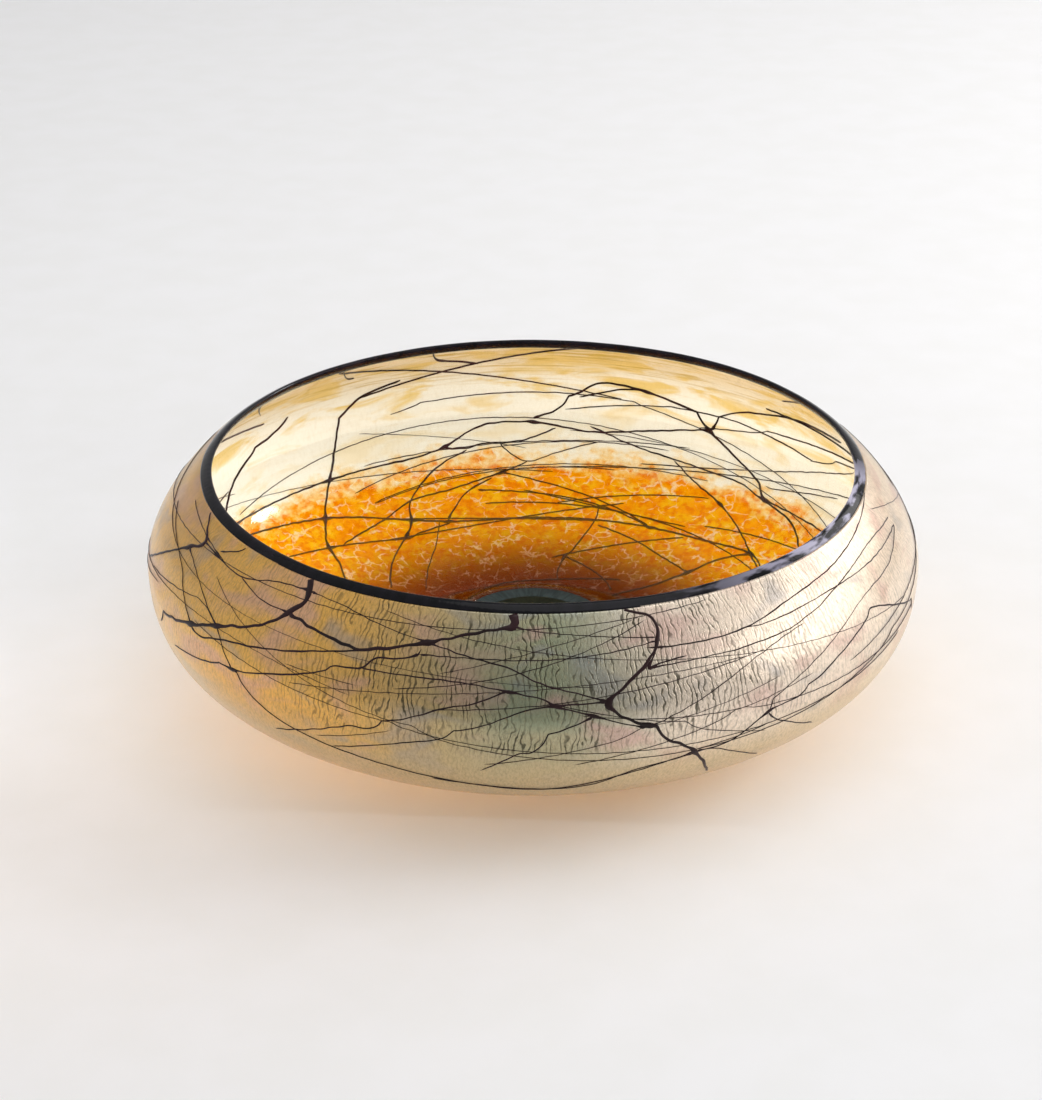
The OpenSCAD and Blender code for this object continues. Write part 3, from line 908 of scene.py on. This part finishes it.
def sweep_table():
    """Pale table that curves up into a backdrop behind the bowl."""
    line = [(TABLE_NEAR, 0.0), (SWEEP_Y, 0.0)]
    for a in np.radians(np.arange(7.5, 91, 7.5)):
        line.append((SWEEP_Y + SWEEP_R * math.sin(a), SWEEP_R - SWEEP_R * math.cos(a)))
    line.append((SWEEP_Y + SWEEP_R, BACKDROP_H))
    verts = [(x, y, z) for y, z in line for x in (-TABLE_HALF, TABLE_HALF)]
    faces = [(2 * i, 2 * i + 1, 2 * i + 3, 2 * i + 2) for i in range(len(line) - 1)]
    table = make_mesh("table", verts, faces, materials=[table_material()])
    return table


def add_lamp(name, data, place, aim, power, color):
    """Places a lamp and turns it towards aim."""
    data.energy = power
    data.color = color
    lamp = bpy.data.objects.new(name, data)
    lamp.location = place
    lamp.rotation_euler = (Vector(aim) - Vector(place)).to_track_quat("-Z", "Y").to_euler()
    bpy.context.scene.collection.objects.link(lamp)
    return lamp


def area_light(name, place, aim, power, color, size, size_y=None):
    """A round panel, or a rectangle where size_y is given."""
    data = bpy.data.lights.new(name, "AREA")
    data.shape = "RECTANGLE" if size_y else "DISK"
    data.size = size
    if size_y:
        data.size_y = size_y
    return add_lamp(name, data, place, aim, power, color)


def spot_light(name, place, aim, power, color, degrees):
    """A soft-edged spot that casts no shadow."""
    data = bpy.data.lights.new(name, "SPOT")
    data.spot_size = math.radians(degrees)
    data.spot_blend = 1.0
    data.shadow_soft_size = 0.1
    data.use_shadow = False
    return add_lamp(name, data, place, aim, power, color)


table = sweep_table()

area_light("window", (1.5, 1.15, 1.05), (0, 0, 0.03), 9.5, (1.0, 0.985, 0.96), 1.3)
side_light = area_light("side_light", (1.75, 0.25, 1.0), (0, 0, 0.03), 11.0, (1.0, 0.995, 0.985), 0.9)
side_light.visible_glossy = False
area_light("right_panel", (1.5, -0.1, 0.62), (0, 0, 0.05), 5.4, (1.0, 0.97, 0.94), 1.3, 0.8)
fill = area_light("fill", (0.3, 0.2, 2.0), (0, 0, 0), 7.5, (0.98, 0.985, 1.0), 1.6)
fill.data.use_shadow = False
mouth_fill = area_light("mouth_fill", (-0.01, -0.075, 0.092), (0.0, 0.1, 0.05), 0.5, (1.0, 0.98, 0.93), 0.12)
mouth_fill.visible_camera = False
mouth_fill.visible_glossy = False

# window light that has come through the amber wall and falls on the table
beam = spot_light("through_the_glass", (1.75, 0.5, 1.05), (-0.115, -0.085, 0.0), 60.0, (1.0, 0.48, 0.03), 7)
glow_on = bpy.data.collections.new("glow_on")
glow_on.objects.link(table)
beam.light_linking.receiver_collection = glow_on
# window light that comes in over the rim onto the left inner wall
spot_light("over_the_rim", (0.5, 0.3, 0.5), (-0.095, 0.02, 0.062), 22.0, (0.94, 0.97, 1.0), 15)


def soft_room():
    """An even pale room, dimmer on the viewer's side."""
    world = bpy.data.worlds.new("soft_white")
    bpy.context.scene.world = world
    world.use_nodes = True
    nodes = world.node_tree.nodes
    links = world.node_tree.links
    sky = nodes["Background"]
    sky.inputs["Color"].default_value = (0.95, 0.96, 0.98, 1.0)
    direction = nodes.new("ShaderNodeSeparateXYZ")
    strength = nodes.new("ShaderNodeMapRange")
    for key, value in (("From Min", -0.9), ("From Max", -0.25), ("To Min", 0.38), ("To Max", 0.66)):
        strength.inputs[key].default_value = value
    links.new(nodes.new("ShaderNodeTexCoord").outputs["Generated"], direction.inputs[0])
    links.new(direction.outputs["Y"], strength.inputs["Value"])
    links.new(strength.outputs[0], sky.inputs["Strength"])


soft_room()

# camera at the viewer's side, looking down at the bowl
CAMERA_AT = Vector((0.0, -0.6906, 0.3805))
CAMERA_AIM = Vector((-0.0040, 0.0169, 0.0335))
camera_data = bpy.data.cameras.new("camera")
camera_data.lens = 76.6
camera_data.sensor_width = 36.0
camera_data.dof.use_dof = False
camera_data.clip_start = 0.05
camera_data.clip_end = 50.0
camera = bpy.data.objects.new("camera", camera_data)
camera.location = CAMERA_AT
camera.rotation_euler = (CAMERA_AIM - CAMERA_AT).to_track_quat("-Z", "Y").to_euler()
bpy.context.scene.collection.objects.link(camera)
bpy.context.scene.camera = camera
bpy.context.scene.view_settings.view_transform = "Standard"
bpy.context.scene.view_settings.look = "None"
